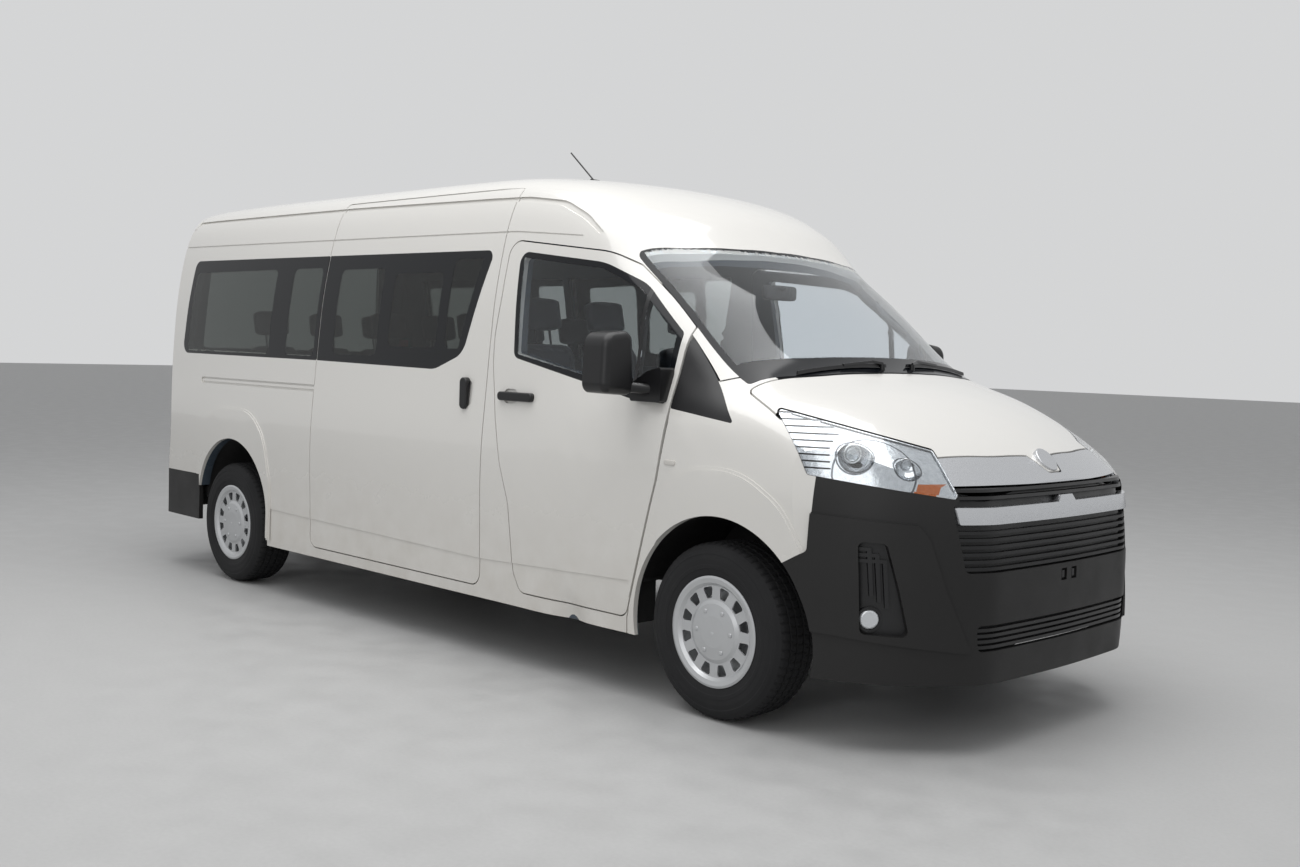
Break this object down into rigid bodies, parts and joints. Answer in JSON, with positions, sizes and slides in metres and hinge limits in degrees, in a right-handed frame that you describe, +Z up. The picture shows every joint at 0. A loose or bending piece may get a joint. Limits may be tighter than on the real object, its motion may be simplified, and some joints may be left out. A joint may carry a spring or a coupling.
{
  "type": "minibus",
  "caption": "High-roof long minibus with glazed sides, a sliding side door, hinged front doors, bonnet and tailgate, and turning and steering wheels.",
  "frame": {"origin": "on the ground under the middle of the vehicle's outline", "axes": "+X forward along the length, +Y to the vehicle's left, +Z up"},
  "size_m": [5.915, 2.3974, 2.4761],
  "materials": {
    "body_paint": "gloss warm white",
    "dark_plastic": "unpainted, fine grain",
    "black_plastic": "satin black",
    "bright_trim": "satin silver",
    "clear_glass": "clear with a slight blue-grey tint",
    "tinted_glass": "dark tinted",
    "lamp_clear": "clear lens",
    "lamp_bright": "bright reflector",
    "lamp_red": "red lens",
    "tyre_rubber": "matt",
    "wheel_silver": "silver lacquer",
    "chassis_black": "black chassis paint",
    "cast_parts": "bare casting",
    "exhaust_steel": "dull steel",
    "seat_cloth": "dark grey woven cloth",
    "dash_plastic": "soft grey"
  },
  "bodies": {
    "body": {"floor_pan": "chassis_black", "chassis_rails": "chassis_black", "body_side_right": "body_paint", "body_side_left": "body_paint", "roof_panel": "body_paint", "windscreen": "clear_glass", "side_glass": "tinted_glass", "sliding_door": "body_paint", "sliding_door_glass": "tinted_glass", "sliding_door_handle": "black_plastic", "front_wings": "body_paint", "corner_panels": "black_plastic", "headlamps": "lamp_clear", "front_bumper": "dark_plastic", "front_grille": "black_plastic", "cowl": "black_plastic", "lamp_reflectors": "lamp_bright", "fog_bezels": "black_plastic", "bright_bars": "bright_trim", "fog_lamps": "lamp_clear", "rear_bumper": "dark_plastic", "tail_lamps": "lamp_red", "engine_block": "cast_parts", "radiator": "black_plastic", "exhaust": "exhaust_steel", "fuel_tank": "dark_plastic", "rear_axle": "cast_parts", "leaf_springs": "chassis_black", "front_suspension": "chassis_black", "rear_wheelhouses": "body_paint", "front_aprons": "dark_plastic", "dashboard": "dash_plastic", "driver_seat": "seat_cloth", "front_bench": "seat_cloth", "rear_seats": "seat_cloth", "wipers": "black_plastic", "aerial": "black_plastic", "spare_wheel": "tyre_rubber"},
    "bonnet": {"bonnet": "body_paint", "bonnet_disc": "bright_trim"},
    "tailgate": {"tailgate": "body_paint", "tailgate_glass": "tinted_glass", "tailgate_trim": "black_plastic"},
    "front_door_left": {"front_door_left": "body_paint", "front_door_glass_left": "clear_glass", "front_door_trim_left": "black_plastic"},
    "front_door_right": {"front_door_right": "body_paint", "front_door_glass_right": "clear_glass", "front_door_trim_right": "black_plastic"},
    "knuckle_left": {"knuckle_left": "cast_parts"},
    "knuckle_right": {"knuckle_right": "cast_parts"},
    "wheel_front_left": {"tyre_front_left": "tyre_rubber", "wheel_front_left": "wheel_silver"},
    "wheel_front_right": {"tyre_front_right": "tyre_rubber", "wheel_front_right": "wheel_silver"},
    "wheel_rear_left": {"tyre_rear_left": "tyre_rubber", "wheel_rear_left": "wheel_silver"},
    "wheel_rear_right": {"tyre_rear_right": "tyre_rubber", "wheel_rear_right": "wheel_silver"},
    "steering_wheel": {"steering_wheel": "black_plastic"}
  },
  "joints": [
    {"name": "bonnet_hinge", "type": "hinge", "parent": "body", "child": "bonnet", "pos_m": [2.018, 0, 1.345], "axis": [0, -1, 0], "range_deg": [0, 50]},
    {"name": "tailgate_hinge", "type": "hinge", "parent": "body", "child": "tailgate", "pos_m": [-2.7, 0, 2.262], "axis": [0, 1, 0], "range_deg": [0, 85]},
    {"name": "front_door_right_hinge", "type": "hinge", "parent": "body", "child": "front_door_right", "pos_m": [1.7, -0.978, 0.9], "axis": [0, 0, 1], "range_deg": [0, 68]},
    {"name": "front_door_left_hinge", "type": "hinge", "parent": "body", "child": "front_door_left", "pos_m": [1.7, 0.978, 0.9], "axis": [0, 0, -1], "range_deg": [0, 68]},
    {"name": "steer_left", "type": "hinge", "parent": "body", "child": "knuckle_left", "pos_m": [1.975, 0.77, 0.24], "axis": [0, -0.2747, 0.9615], "range_deg": [-38, 38]},
    {"name": "steer_right", "type": "hinge", "parent": "body", "child": "knuckle_right", "pos_m": [1.975, -0.77, 0.24], "axis": [0, 0.2747, 0.9615], "range_deg": [-38, 38]},
    {"name": "steering_wheel_turn", "type": "hinge", "parent": "body", "child": "steering_wheel", "pos_m": [1.36, 0.44, 1.19], "axis": [-0.6198, 0, 0.7848], "range_deg": [-570, 570]},
    {"name": "wheel_front_left_spin", "type": "hinge", "parent": "knuckle_left", "child": "wheel_front_left", "pos_m": [1.975, 0.837, 0.35], "axis": [0, 1, 0], "continuous": true},
    {"name": "wheel_front_right_spin", "type": "hinge", "parent": "knuckle_right", "child": "wheel_front_right", "pos_m": [1.975, -0.837, 0.35], "axis": [0, 1, 0], "continuous": true},
    {"name": "wheel_rear_left_spin", "type": "hinge", "parent": "body", "child": "wheel_rear_left", "pos_m": [-1.885, 0.837, 0.35], "axis": [0, 1, 0], "continuous": true},
    {"name": "wheel_rear_right_spin", "type": "hinge", "parent": "body", "child": "wheel_rear_right", "pos_m": [-1.885, -0.837, 0.35], "axis": [0, 1, 0], "continuous": true}
  ],
  "couplings": [
    {"joint": "steer_right", "follows": "steer_left", "ratio": 1},
    {"joint": "steering_wheel_turn", "follows": "steer_left", "ratio": 15}
  ]
}
